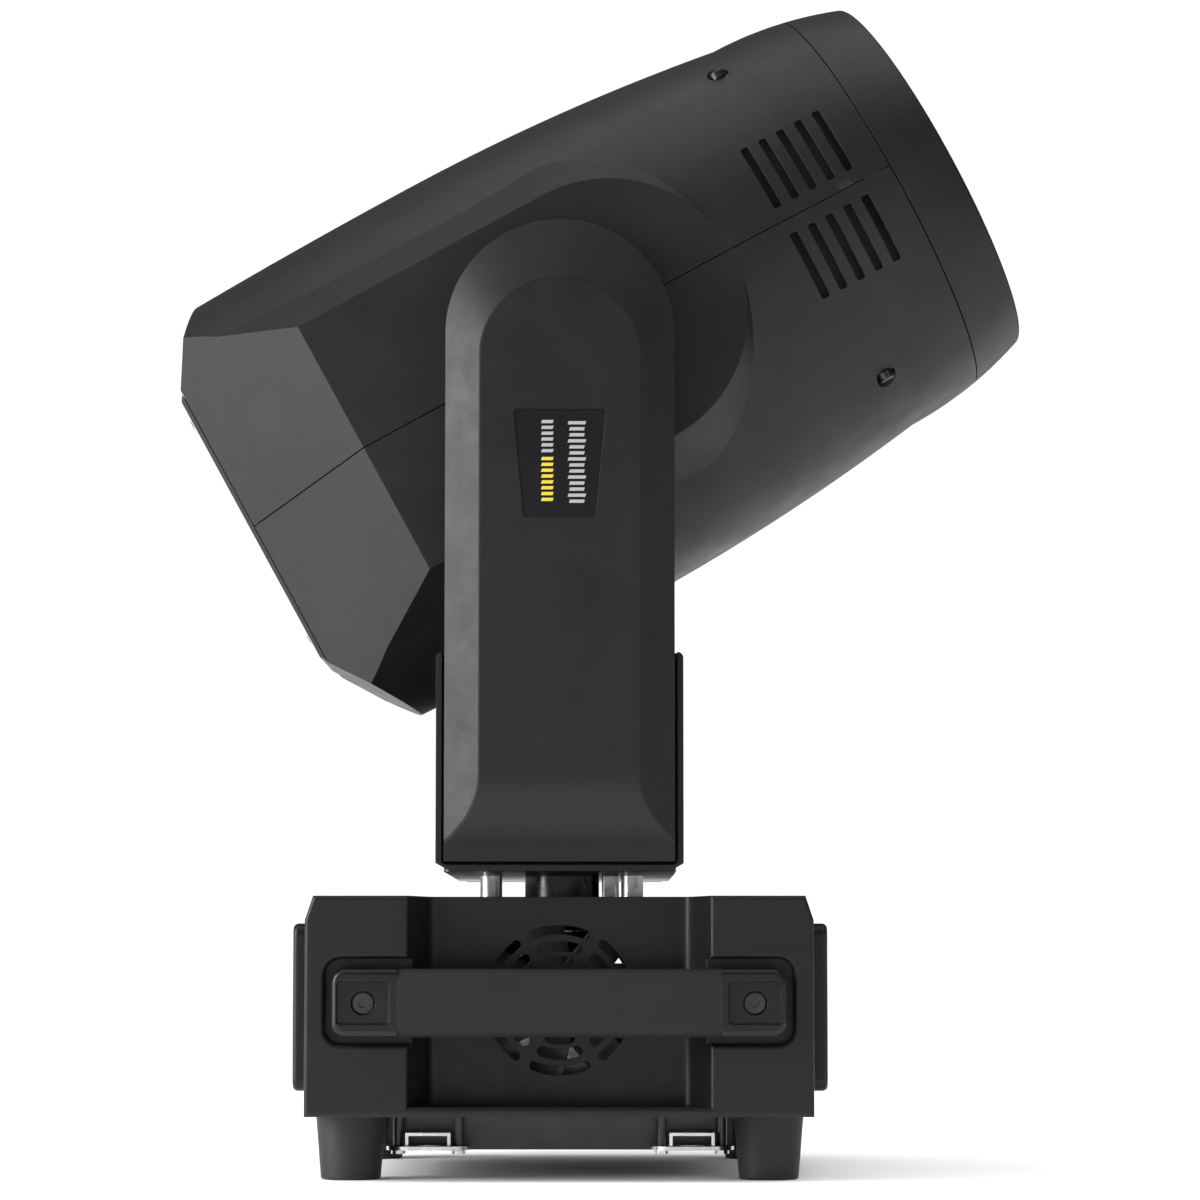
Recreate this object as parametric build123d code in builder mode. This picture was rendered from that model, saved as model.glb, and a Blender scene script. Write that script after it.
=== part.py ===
from build123d import *
import os
from math import atan, cos, degrees, radians, sin, tan

# A moving head light. Millimetres, +Z up. The origin is the centre of the four clamp receptacles,
# on their outer faces, below the pan axis. +X is the display end of the base, and the tilt axis
# is parallel to Y. The "left" pieces are on the -Y side, and their mirror images on the +Y side.

# Driving dimensions
WALL = 3.0            # moulded covers
SHEET = 3.0           # folded steel
SEAM = 0.6            # shadow gap between two mouldings
RUN = 0.05            # radial clearance of a running fit
BELT_GAP = 0.3        # between a belt and the pulley it wraps
BELT_THICK = 1.5

FLOOR_Z = -14.0       # the surface that the rubber feet stand on
TILT_Z = 406.0        # height of the tilt axis
REST_TILT = 61.3      # the head leans this far from upright, towards +X
TILT_AXIS = Axis((0, 0, TILT_Z), (0, 1, 0))

BASE_HALF_X = 124.8
BASE_HALF_Y = 155.0
BASE_BOTTOM = 18.0
BASE_TOP = 126.0
SHOULDER_X = 4.0      # sloping top corners of the base covers
SHOULDER_Z = 12.0
RECESS_Y = 120.0      # finger recess behind each handle
RECESS_FLOOR_HALF = 64.5
RECESS_MOUTH_HALF = 74.5
LEDGE_TOP = 23.0
NOTCH_Y = 147.0       # pocket that a handle is seated in
NOTCH_HALF_X = 115.0
NOTCH_BOTTOM = 53.2
NOTCH_TOP = 95.3
END_WINDOW = (160.0, 66.0)
END_PLATE = (200.0, 84.0, 9.7)
END_Z = 71.0
SCREEN = (72.0, 46.0)
SCREEN_Y = -36.0
BUTTON_R, BUTTON_PROUD = 6.5, 2.2
BUTTON_SPOTS = (
    ("up_button", 24, 14),
    ("down_button", 24, -14),
    ("menu_button", 48, 14),
    ("enter_button", 48, -14),
)
SOCKET_Y = (-65.0, -37.0, -9.0, 15.0, 39.0, 63.0)
POWER_SOCKET_R, SIGNAL_SOCKET_R = 12.5, 10.5

HANDLE_HALF = 111.0
HANDLE_Z = 73.6
HANDLE_TALL = 33.3
HANDLE_OUTER = 165.0
GRIP_HALF = 79.0
HANDLE_SCREW_X = 95.6

FOOT_X, FOOT_Y = 104.0, 112.0
FOOT_TOP_R, FOOT_TIP_R = 17.5, 14.8
TRAY_BOX = (186.0, 168.0)   # the lower box of the tray, between the feet
TRAY_Z = 18.3
TRAY_THICK = 1.4
TRAY_FLOOR = 1.3
LOCK_X, LOCK_Y = 66.0, 100.0
LOCK_HOLE_R = 6.5

FAN_SIZE, FAN_DEPTH, FAN_Z = 80.0, 25.0, 74.7
HEAD_FAN_SIZE = 92.0
GRILLE_BANDS = ((34.9, 4.4), (26.75, 5.1), (20.0, 4.0), (13.5, 4.0))
SPOKES = 6
SPOKE_WIDTH = 10.0
BLADES, BLADE_PITCH = 7, 38.0

SHAFT_R, SHAFT_BORE = 19.5, 14.0
PAN_OPENING_R = 52.0
PAN_BEARING_R = 31.0
PAN_PULLEY_R = 50.0
PAN_MOTOR_X = -80.0
PAN_MOTOR_PULLEY_R = 9.0
BRIDGE_Z = 90.0
SUPPLY_X, BOARD_X, BOARD_Z = 87.0, -79.0, 26.0
PULLEY_Z, PULLEY_TALL = 98.0, 12.0
MOTOR_SHAFT = 42.0
PILLAR_R, PILLAR_CIRCLE = 5.75, 42.5

YOKE_BOTTOM = 138.5
ARM_INNER = 122.0     # the arm's face beside the head
ARM_SEAM = 132.0
ARM_EDGE = 148.0      # where the outer bevel begins
ARM_OUTER = 160.0
ARM_HALF = 57.0
ARM_BOTTOM = 143.0
FLAT_HALF = 39.5      # raised flat of the arm, a slot with round top
FLAT_TOP_Z = 392.6
SLOPE_Z = (152.0, 185.0)
COLLAR_HALF, COLLAR_TOP, COLLAR_OUTER = 61.4, 247.0, 140.0
BADGE_Z = (312.0, 366.0)
BADGE_HALF = (17.75, 22.85)
BADGE_DEPTH = 1.2
BEAM_TOP = 164.0
ARM_PLATE_Y = 137.0
TILT_MOTOR_Z = 221.0
TILT_PULLEY_R, TILT_MOTOR_PULLEY_R = 40.0, 8.0
TILT_PULLEY_Y, TILT_PULLEY_WIDE = 126.5, 8.0

TRUNNION_R, TRUNNION_BORE, TRUNNION_END = 20.0, 13.0, 150.0
TILT_BEARING_R = 29.0

HEAD_R = 126.0        # lengths along the head are measured from the tilt axis
HEAD_WIDEST = -25.0
HEAD_FRONT, HEAD_REAR = 222.7, -185.0
HEAD_FRONT_R = 100.3
HEAD_REAR_R = 122.2
HEAD_FLARE = (112.9, 152.0)
HEAD_FLARE_MID = (109.9, 187.0)
HEAD_SIDE = 119.0
PAD_HALF, PAD_CENTRE, PAD_RUN = 70.0, 28.0, 55.0
PAD_SLOPE = 31.1
REAR_SIDE = ((52.0, -185.0), (119.0, -113.0))
REAR_TOP = ((76.0, -185.0), (127.0, -150.3))
RING_SEAM = 191.7
LID_SEAM = -181.6
VENT_FIRST, VENT_PITCH, VENT_COUNT = 130.2, 10.4, 5
VENT_WIDE, VENT_SPAN = 4.4, (7.5, 43.7)
SCREW_SPOTS = ((142.0, 70.0, 88.0), (-108.0, 30.0, 114.9))

LENS_R = 83.5
CHASSIS_W, CHASSIS_HALF_V = 92.0, 45.0
ROD_V, ROD_R = 90.0, 4.0
WHEEL_OFFSET, WHEEL_R, WHEEL_HOLE_R = 50.0, 62.0, 9.0
PRISM_PIVOT = (62.0, 40.0)
PRISM_SWING = 60.0
PRISM_R = 20.0


def write(piece, name):
    """Label a piece and write it to its STEP file."""
    piece.part.label = name
    export_step(piece.part, f"parts/{name}.step")


def write_pair(piece, name):
    """Write a left-hand piece and its mirror image on the right."""
    with BuildPart() as other:
        mirror(piece.part, about=Plane.XZ)
    write(piece, f"{name}_left")
    write(other, f"{name}_right")


def write_mirrored_group(piece, name):
    """Write a left-hand piece together with its mirror image, as one node."""
    with BuildPart() as both:
        add(piece.part)
        mirror(piece.part, about=Plane.XZ)
    write(both, name)


def write_leaning(piece, name):
    """Write a piece of the head, which is drawn upright, at the head's rest angle."""
    with BuildPart() as leaning:
        add(piece.part.rotate(TILT_AXIS, REST_TILT))
    write(leaning, name)


def side_plane(distance, height=0.0):
    """A plane facing -Y, with X to the right and Z up."""
    return Plane((0, -distance, height), (1, 0, 0), (0, -1, 0))


def head_plane(along):
    """A plane across the upright head, this far in front of the tilt axis."""
    return Plane.XY.offset(TILT_Z + along)


def grille_slots():
    """Rounded arc slots in rings, cut by straight spokes."""
    for radius, width in GRILLE_BANDS:
        span = 360 / SPOKES - degrees(SPOKE_WIDTH / radius)
        first = (360 / SPOKES - span) / 2
        arc = Edge.make_circle(radius, start_angle=first, end_angle=first + span)
        with PolarLocations(0, SPOKES):
            SlotArc(arc, width)


# Base ------------------------------------------------------------------------------------

def base_form(inset):
    """The -Y half of the base's outer form; inset moves every wall inwards."""
    half_x = BASE_HALF_X - inset
    top = BASE_TOP - inset
    with BuildPart() as form:
        with BuildSketch(Plane.XZ):
            with BuildLine():
                Polyline(
                    (-half_x, BASE_BOTTOM),
                    (half_x, BASE_BOTTOM),
                    (half_x, top - SHOULDER_Z),
                    (half_x - SHOULDER_X, top),
                    (SHOULDER_X - half_x, top),
                    (-half_x, top - SHOULDER_Z),
                    close=True,
                )
            make_face()
        extrude(amount=BASE_HALF_Y - inset)
        with BuildSketch(Plane.XY.offset(LEDGE_TOP - inset)):
            with BuildLine():
                Polyline(
                    (-RECESS_FLOOR_HALF - inset, inset - RECESS_Y),
                    (RECESS_FLOOR_HALF + inset, inset - RECESS_Y),
                    (RECESS_MOUTH_HALF + inset, -BASE_HALF_Y),
                    (-RECESS_MOUTH_HALF - inset, -BASE_HALF_Y),
                    close=True,
                )
            floor_corners = make_face().vertices().group_by(Axis.Y)[-1]
            fillet(floor_corners, radius=5)
        extrude(amount=BASE_TOP, mode=Mode.SUBTRACT)
        with BuildSketch(Plane.XZ.offset(NOTCH_Y - inset)):
            with Locations((0, (NOTCH_BOTTOM + NOTCH_TOP) / 2)):
                wide = 2 * (NOTCH_HALF_X + inset)
                tall = NOTCH_TOP - NOTCH_BOTTOM + 2 * inset
                RectangleRounded(wide, tall, 8)
        extrude(amount=BASE_HALF_Y - NOTCH_Y + inset, mode=Mode.SUBTRACT)
    return form


def base_cover():
    """One moulded half of the base casing, with recess, handle pocket and fan grille."""
    with BuildPart() as cover:
        add(base_form(0).part)
        rim = cover.faces().filter_by(Plane.XZ).group_by(Axis.Y)[0]
        fillet(rim.edges(), radius=2)
        add(base_form(WALL).part, mode=Mode.SUBTRACT)
        with BuildSketch(Plane.XY.offset(BASE_TOP - 2 * WALL)):
            Circle(PAN_OPENING_R)
        extrude(amount=3 * WALL, mode=Mode.SUBTRACT)
        with BuildSketch(Plane.YZ.offset(-BASE_HALF_X - WALL)):
            with Locations((0, END_Z)):
                Rectangle(*END_WINDOW)
        extrude(amount=2 * (BASE_HALF_X + WALL), mode=Mode.SUBTRACT)
        with BuildSketch(side_plane(RECESS_Y - 2 * WALL, FAN_Z)):
            grille_slots()
        extrude(amount=3 * WALL, mode=Mode.SUBTRACT)
        with BuildSketch(Plane.XZ):
            with Locations((0, BASE_TOP / 2)):
                Rectangle(3 * BASE_HALF_X, 2 * BASE_TOP)
        extrude(amount=SEAM / 2, mode=Mode.SUBTRACT)
    write_pair(cover, "base_cover")


def base_tray():
    """The steel floor of the base, with the lower box between the feet."""
    wide, deep = TRAY_BOX
    with BuildPart() as tray:
        with BuildSketch(Plane.XY.offset(TRAY_Z)):
            RectangleRounded(2 * (BASE_HALF_X - WALL - 0.4), 2 * (BASE_HALF_Y - WALL - 0.4), 4)
        extrude(amount=TRAY_THICK)
        with BuildSketch(Plane.XY.offset(TRAY_FLOOR - 2)):
            RectangleRounded(wide, deep, 6)
        extrude(amount=TRAY_Z - TRAY_FLOOR + 2)
        with BuildSketch(Plane.XY.offset(TRAY_FLOOR)):
            RectangleRounded(wide - 4, deep - 4, 4)
        extrude(amount=2 * TRAY_Z, mode=Mode.SUBTRACT)
    write(tray, "base_tray")


def handles():
    """A straight handle seated in its pocket, with a thinner core under the grip sleeve."""
    deep = HANDLE_OUTER - NOTCH_Y
    with BuildPart() as bar:
        with BuildSketch(side_plane(NOTCH_Y, HANDLE_Z)):
            RectangleRounded(2 * HANDLE_HALF, HANDLE_TALL, 7)
        extrude(amount=deep)
        front = bar.faces().sort_by(Axis.Y)[0]
        fillet(front.edges(), radius=3)
        with BuildSketch(side_plane(HANDLE_OUTER, HANDLE_Z)):
            with GridLocations(2 * HANDLE_SCREW_X, 0, 2, 1):
                RectangleRounded(26, 21, 2)
        extrude(amount=-2.5, taper=12, mode=Mode.SUBTRACT)
        with Locations(side_plane(HANDLE_OUTER - 2.5, HANDLE_Z)):
            with GridLocations(2 * HANDLE_SCREW_X, 0, 2, 1):
                CounterBoreHole(2.7, 6, 5, depth=deep)
        with BuildSketch(side_plane(0, HANDLE_Z)):
            Rectangle(2 * GRIP_HALF, 2 * HANDLE_TALL)
            Rectangle(2 * GRIP_HALF, HANDLE_TALL - 10, mode=Mode.SUBTRACT)
        extrude(amount=BASE_HALF_Y + deep, mode=Mode.SUBTRACT)
        with BuildSketch(side_plane(HANDLE_OUTER - 4, HANDLE_Z)):
            Rectangle(2 * GRIP_HALF, 2 * HANDLE_TALL)
        extrude(amount=2 * deep, mode=Mode.SUBTRACT)
        with BuildSketch(side_plane(0, HANDLE_Z)):
            Rectangle(2 * GRIP_HALF, 2 * HANDLE_TALL)
        extrude(amount=NOTCH_Y + 4, mode=Mode.SUBTRACT)
    write_pair(bar, "handle")
    with BuildPart() as grip:
        with BuildSketch(Plane.YZ.offset(-GRIP_HALF)):
            with Locations(((-NOTCH_Y - HANDLE_OUTER) / 2, HANDLE_Z)):
                RectangleRounded(deep, HANDLE_TALL, 5.5)
                Rectangle(deep - 8, HANDLE_TALL - 10, mode=Mode.SUBTRACT)
        extrude(amount=2 * GRIP_HALF)
    write_mirrored_group(grip, "handle_grips")


def handle_screws():
    """Socket cap screws, one at each end of each handle."""
    head_at = HANDLE_OUTER - 7.5
    with BuildPart() as screws:
        with BuildSketch(side_plane(head_at, HANDLE_Z)):
            with GridLocations(2 * HANDLE_SCREW_X, 0, 2, 1):
                Circle(5)
        extrude(amount=4)
        with BuildSketch(side_plane(head_at + 2, HANDLE_Z)):
            with GridLocations(2 * HANDLE_SCREW_X, 0, 2, 1):
                RegularPolygon(2.6, 6)
        extrude(amount=4, mode=Mode.SUBTRACT)
        with BuildSketch(side_plane(NOTCH_Y, HANDLE_Z)):
            with GridLocations(2 * HANDLE_SCREW_X, 0, 2, 1):
                Circle(2.6)
        extrude(amount=head_at - NOTCH_Y)
    write_mirrored_group(screws, "handle_screws")


def rubber_feet():
    """Four moulded feet, slightly tapered."""
    with BuildPart() as feet:
        with BuildSketch(Plane.XY.offset(FLOOR_Z)):
            with GridLocations(2 * FOOT_X, 2 * FOOT_Y, 2, 2):
                Circle(FOOT_TIP_R)
        tall = BASE_BOTTOM - FLOOR_Z
        extrude(amount=tall, taper=-degrees(atan((FOOT_TOP_R - FOOT_TIP_R) / tall)))
        fillet(feet.edges().group_by(Axis.Z)[0], radius=1.5)
    write(feet, "rubber_feet")


def camlock_receptacles():
    """Quarter-turn receptacles for clamp brackets: a plate on posts with a bent cam cage."""
    with BuildPart() as locks:
        with BuildSketch(Plane.XY):
            with GridLocations(2 * LOCK_X, 2 * LOCK_Y, 2, 2):
                SlotOverall(42, 24)
                Circle(LOCK_HOLE_R, mode=Mode.SUBTRACT)
        extrude(amount=2)
        with BuildSketch(Plane.XY.offset(2)):
            with GridLocations(2 * LOCK_X, 2 * LOCK_Y, 2, 2):
                with GridLocations(21, 0, 2, 1):
                    Rectangle(1.6, 13)
        extrude(amount=5)
        with BuildSketch(Plane.XY.offset(7)):
            with GridLocations(2 * LOCK_X, 2 * LOCK_Y, 2, 2):
                Rectangle(22.6, 13)
                Rectangle(9, 5, mode=Mode.SUBTRACT)
        extrude(amount=1.6)
        with BuildSketch(Plane.XY.offset(-2)):
            with GridLocations(2 * LOCK_X, 2 * LOCK_Y, 2, 2):
                with GridLocations(30, 0, 2, 1):
                    Circle(3.6)
        extrude(amount=2)
    write(locks, "camlock_receptacles")
    with BuildPart() as posts:
        with BuildSketch(Plane.XY.offset(2)):
            with GridLocations(2 * LOCK_X, 2 * LOCK_Y, 2, 2):
                with GridLocations(30, 0, 2, 1):
                    Circle(2.6)
        extrude(amount=TRAY_Z - 2)
    write(posts, "camlock_posts")


def safety_eye():
    """A tab with a hole for the safety cable, under the far side of the base."""
    with BuildPart() as eye:
        with BuildSketch(Plane.XZ.offset(-LOCK_Y)):
            with Locations((0, TRAY_Z - 9)):
                RectangleRounded(30, 18, 4)
            with Locations((0, TRAY_Z - 10)):
                Circle(5.5, mode=Mode.SUBTRACT)
        extrude(amount=4)
        with BuildSketch(Plane.XY.offset(TRAY_Z)):
            with Locations((0, LOCK_Y + 6)):
                Rectangle(30, 20)
        extrude(amount=-2.5)
    write(eye, "safety_eye")


def end_plate():
    """A raised panel with rounded rim, at the +X end of the base."""
    wide, tall, deep = END_PLATE
    with BuildPart() as plate:
        with BuildSketch(Plane((BASE_HALF_X, 0, END_Z), (0, 1, 0), (1, 0, 0))):
            RectangleRounded(wide, tall, 6)
        extrude(amount=deep)
        fillet(plate.faces().sort_by(Axis.X)[-1].edges(), radius=2.5)
        with BuildSketch(Plane((BASE_HALF_X, 0, END_Z), (0, 1, 0), (1, 0, 0))):
            RectangleRounded(END_WINDOW[0] - 1, END_WINDOW[1] - 1, 4)
        extrude(amount=-WALL)
    return plate


def display_end():
    """The menu panel: a screen behind a window and four push buttons."""
    face_x = BASE_HALF_X + END_PLATE[2]
    window = Plane((face_x, 0, END_Z), (0, 1, 0), (1, 0, 0))
    with BuildPart() as panel:
        add(end_plate().part)
        with BuildSketch(window):
            with Locations((SCREEN_Y, 0)):
                RectangleRounded(*SCREEN, 3)
        extrude(amount=-2, mode=Mode.SUBTRACT)
        with BuildSketch(window):
            with Locations(*[(y, z) for name, y, z in BUTTON_SPOTS]):
                Circle(BUTTON_R + RUN)
        extrude(amount=-2 * END_PLATE[2], mode=Mode.SUBTRACT)
    write(panel, "display_panel")
    with BuildPart() as screen:
        with BuildSketch(window.offset(-2)):
            with Locations((SCREEN_Y, 0)):
                RectangleRounded(SCREEN[0] - 0.4, SCREEN[1] - 0.4, 2.8)
        extrude(amount=1.5)
    write(screen, "display_screen")
    for name, y, z in BUTTON_SPOTS:
        with BuildPart() as button:
            with BuildSketch(window.offset(BUTTON_PROUD)):
                with Locations((y, z)):
                    Circle(BUTTON_R)
            extrude(amount=-BUTTON_PROUD - END_PLATE[2])
            fillet(button.edges().group_by(Axis.X)[-1], radius=0.8)
        write(button, name)


def connector_end():
    """The connector panel: power inlet and outlet, then four round signal sockets."""
    outer = Plane((-BASE_HALF_X - END_PLATE[2], 0, END_Z), (0, -1, 0), (-1, 0, 0))
    power = [(y, 0) for y in SOCKET_Y[:2]]
    signal = [(y, 0) for y in SOCKET_Y[2:]]
    with BuildPart() as panel:
        mirror(end_plate().part, about=Plane.YZ)
        with BuildSketch(outer):
            with Locations(*power):
                Circle(POWER_SOCKET_R)
            with Locations(*signal):
                Circle(SIGNAL_SOCKET_R)
        extrude(amount=-2 * END_PLATE[2], mode=Mode.SUBTRACT)
    write(panel, "connector_panel")
    with BuildPart() as sockets:
        with BuildSketch(outer.offset(1.5)):
            with Locations(*power):
                Circle(POWER_SOCKET_R)
                Circle(POWER_SOCKET_R - 3, mode=Mode.SUBTRACT)
            with Locations(*signal):
                Circle(SIGNAL_SOCKET_R)
                Circle(SIGNAL_SOCKET_R - 2, mode=Mode.SUBTRACT)
        extrude(amount=-11)
        with BuildSketch(outer.offset(-9.5)):
            with Locations(*power):
                Circle(POWER_SOCKET_R)
            with Locations(*signal):
                Circle(SIGNAL_SOCKET_R)
        extrude(amount=-6)
        with BuildSketch(outer.offset(-9.5)):
            with Locations(*power):
                with PolarLocations(6, 3):
                    Circle(1.8)
            with Locations(*signal):
                with PolarLocations(5, 3):
                    Circle(1.3)
        extrude(amount=8)
    write(sockets, "panel_sockets")


# Fans ------------------------------------------------------------------------------------

def fan_frame(plane, size):
    """A square axial fan frame; the plane is its inner face and looks out through the grille."""
    bore = size / 2 - 1.5
    with BuildPart() as frame:
        with BuildSketch(plane):
            RectangleRounded(size, size, 4)
            Circle(bore, mode=Mode.SUBTRACT)
            with GridLocations(size - 9, size - 9, 2, 2):
                Circle(2.2, mode=Mode.SUBTRACT)
        extrude(amount=FAN_DEPTH)
        with BuildSketch(plane):
            Circle(size / 5)
            with PolarLocations(bore / 2, 4):
                Rectangle(bore + 1, 4)
        extrude(amount=3)
    return frame


def fan_rotor(plane, size):
    """The hub and seven pitched blades of a fan."""
    hub = size / 5
    tip = size / 2 - 3
    with BuildPart() as rotor:
        with BuildSketch(plane.offset(4)):
            Circle(hub)
        extrude(amount=FAN_DEPTH - 6)
        for blade in range(BLADES):
            radial = plane.x_dir.rotate(Axis(plane.origin, plane.z_dir), 360 / BLADES * blade)
            turned = Plane(plane.origin, radial, plane.z_dir)
            root = turned.from_local_coords((hub - 1, 0, FAN_DEPTH / 2 + 1))
            with BuildSketch(Plane(root, turned.y_dir, turned.x_dir)):
                Rectangle(24, 1.6, rotation=BLADE_PITCH)
            extrude(amount=tip - hub + 1)
    return rotor


# Pan drive -------------------------------------------------------------------------------

def pan_bridge():
    """The folded steel bridge that carries the pan bearing and hangs the pan motor."""
    with BuildPart() as bridge:
        with BuildSketch(Plane.XY.offset(BRIDGE_Z)):
            with Locations((-29, 0)):
                Rectangle(158, 104)
            Circle(SHAFT_R + 1.5, mode=Mode.SUBTRACT)
            with Locations((PAN_MOTOR_X, 0)):
                Circle(12, mode=Mode.SUBTRACT)
        extrude(amount=SHEET)
        with BuildSketch(Plane.XY.offset(BRIDGE_Z)):
            Circle(PAN_BEARING_R + 6)
            Circle(PAN_BEARING_R, mode=Mode.SUBTRACT)
        extrude(amount=-13)
        with BuildSketch(Plane.XY.offset(BRIDGE_Z)):
            with GridLocations(0, 101, 1, 2):
                Rectangle(96, SHEET)
        extrude(amount=TRAY_FLOOR - BRIDGE_Z)
    write(bridge, "pan_bridge")


def pan_bearing():
    """The large bearing that the hollow pan shaft turns in."""
    with BuildPart() as bearing:
        with BuildSketch(Plane.XY.offset(BRIDGE_Z - 12)):
            Circle(PAN_BEARING_R)
            Circle(SHAFT_R + RUN, mode=Mode.SUBTRACT)
        extrude(amount=12)
        with BuildSketch(Plane.XY.offset(BRIDGE_Z - 2)):
            Circle(27)
            Circle(23.5, mode=Mode.SUBTRACT)
        extrude(amount=2, mode=Mode.SUBTRACT)
    write(bearing, "pan_bearing")


def stepper(plane, size, length, bore):
    """A square stepper motor behind its mounting plane, bored for its shaft."""
    with BuildPart() as motor:
        with BuildSketch(plane):
            RectangleRounded(size, size, 5)
        extrude(amount=-length)
        with BuildSketch(plane.offset(-4)):
            Rectangle(size + 1, size + 1)
            RectangleRounded(size - 3, size - 3, 4, mode=Mode.SUBTRACT)
        extrude(amount=8 - length, mode=Mode.SUBTRACT)
        with BuildSketch(plane):
            Circle(bore)
        extrude(amount=-length + 3, mode=Mode.SUBTRACT)
    return motor


def timing_pulley(plane, radius, width, shaft_r, shaft_length):
    """A small toothed pulley above its plane, with its shaft running back into the motor."""
    with BuildPart() as pulley:
        with BuildSketch(plane):
            Circle(radius)
            with PolarLocations(radius, round(radius * 1.6)):
                Circle(0.8, mode=Mode.SUBTRACT)
        extrude(amount=width)
        with BuildSketch(plane):
            Circle(shaft_r)
        extrude(amount=-shaft_length)
    return pulley


def belt_loop(plane, spots, width):
    """A closed belt around two pulleys, given as ((centre, radius), (centre, radius))."""
    with BuildPart() as loop:
        for grow, mode in ((BELT_GAP + BELT_THICK, Mode.ADD), (BELT_GAP, Mode.SUBTRACT)):
            with BuildSketch(plane):
                for centre, radius in spots:
                    with Locations(centre):
                        Circle(radius + grow)
                make_hull()
            extrude(amount=width, mode=mode)
    return loop


def pan_drive():
    """Pan motor, its pulley, the belt, and the large pulley with standoffs under the yoke."""
    mount = Plane((PAN_MOTOR_X, 0, BRIDGE_Z))
    write(stepper(mount, 56, 52, 3 + RUN), "pan_motor")
    pulley_plane = Plane((PAN_MOTOR_X, 0, PULLEY_Z))
    pulley = timing_pulley(pulley_plane, PAN_MOTOR_PULLEY_R, PULLEY_TALL, 3, MOTOR_SHAFT)
    write(pulley, "pan_motor_pulley")
    spots = (((0, 0), PAN_PULLEY_R), ((PAN_MOTOR_X, 0), PAN_MOTOR_PULLEY_R))
    write(belt_loop(Plane.XY.offset(PULLEY_Z + 1), spots, PULLEY_TALL - 2), "pan_belt")
    with BuildPart() as hub:
        with BuildSketch(Plane.XY.offset(PULLEY_Z)):
            Circle(PAN_PULLEY_R)
            Circle(SHAFT_R, mode=Mode.SUBTRACT)
            with PolarLocations(34, 6):
                Circle(7, mode=Mode.SUBTRACT)
        extrude(amount=PULLEY_TALL)
        with BuildSketch(Plane.XY.offset(PULLEY_Z + PULLEY_TALL)):
            with PolarLocations(PILLAR_CIRCLE, 3, start_angle=90):
                Circle(PILLAR_R)
            with Locations((25.5, -2)):
                RectangleRounded(9, 18, 2)
        extrude(amount=YOKE_BOTTOM - PULLEY_Z - PULLEY_TALL)
    write(hub, "pan_hub")
    with BuildPart() as shaft:
        with BuildSketch(Plane.XY.offset(BRIDGE_Z - 16)):
            Circle(SHAFT_R)
            Circle(SHAFT_BORE, mode=Mode.SUBTRACT)
        extrude(amount=YOKE_BOTTOM - BRIDGE_Z + 16)
    write(shaft, "pan_shaft")


def base_electronics():
    """The power supply and the control board, standing on the tray's flange."""
    floor = TRAY_Z + TRAY_THICK
    with BuildPart() as supply:
        with BuildSketch(Plane.XY.offset(floor)):
            with Locations((SUPPLY_X, 0)):
                Rectangle(54, 176)
        extrude(amount=60)
        with BuildSketch(Plane.XY.offset(floor + 60)):
            with Locations((SUPPLY_X, 0)):
                with GridLocations(9, 160, 5, 1):
                    SlotOverall(110, 4, rotation=90)
        extrude(amount=-1.5, mode=Mode.SUBTRACT)
    write(supply, "power_supply")
    with BuildPart() as board:
        with BuildSketch(Plane.XY.offset(BOARD_Z)):
            with Locations((BOARD_X, 0)):
                Rectangle(50, 180)
        extrude(amount=1.6)
        with BuildSketch(Plane.XY.offset(floor)):
            with Locations((BOARD_X, 0)):
                with GridLocations(42, 174, 2, 2):
                    Circle(2.5)
        extrude(amount=BOARD_Z - floor)
        with BuildSketch(Plane.XY.offset(BOARD_Z + 1.6)):
            with Locations((BOARD_X, 0)):
                with GridLocations(24, 50, 2, 3):
                    Rectangle(14, 20)
        extrude(amount=6)
    write(board, "control_board")


# Yoke ------------------------------------------------------------------------------------

def arm_outline(half, top_z, bottom_z):
    """An upright slot with a round top and a square bottom."""
    with BuildSketch(Plane.XY) as outline:
        with BuildLine():
            Line((-half, bottom_z), (half, bottom_z))
            Line((half, bottom_z), (half, top_z))
            CenterArc((0, top_z), half, 0, 180)
            Line((-half, top_z), (-half, bottom_z))
        make_face()
    return outline.sketch


def arm_form(inset):
    """The outer cover's form: a block with a bevelled, raised flat that slopes away below."""
    with BuildPart() as form:
        with BuildSketch(Plane.XZ.offset(ARM_SEAM)):
            add(arm_outline(ARM_HALF - inset, TILT_Z, ARM_BOTTOM + inset))
        extrude(amount=ARM_EDGE - ARM_SEAM)
        with BuildSketch(Plane.XZ.offset(ARM_EDGE)):
            add(arm_outline(ARM_HALF - inset, TILT_Z, ARM_BOTTOM + inset))
        with BuildSketch(Plane.XZ.offset(ARM_OUTER - inset)):
            add(arm_outline(FLAT_HALF - inset, FLAT_TOP_Z, ARM_BOTTOM + inset))
        loft(ruled=True)
        outer = -ARM_OUTER + inset
        edge = -ARM_EDGE + inset
        low, high = SLOPE_Z
        with BuildSketch(Plane.YZ.offset(-2 * ARM_HALF)):
            with BuildLine():
                Polyline(
                    (outer, high),
                    (outer, 2 * TILT_Z),
                    (0, 2 * TILT_Z),
                    (0, 0),
                    (edge, 0),
                    (edge, low),
                )
                TangentArc((outer, high), (edge, low), tangent=(0, -1))
            make_face()
        extrude(amount=4 * ARM_HALF, mode=Mode.INTERSECT)
    return form


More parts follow.
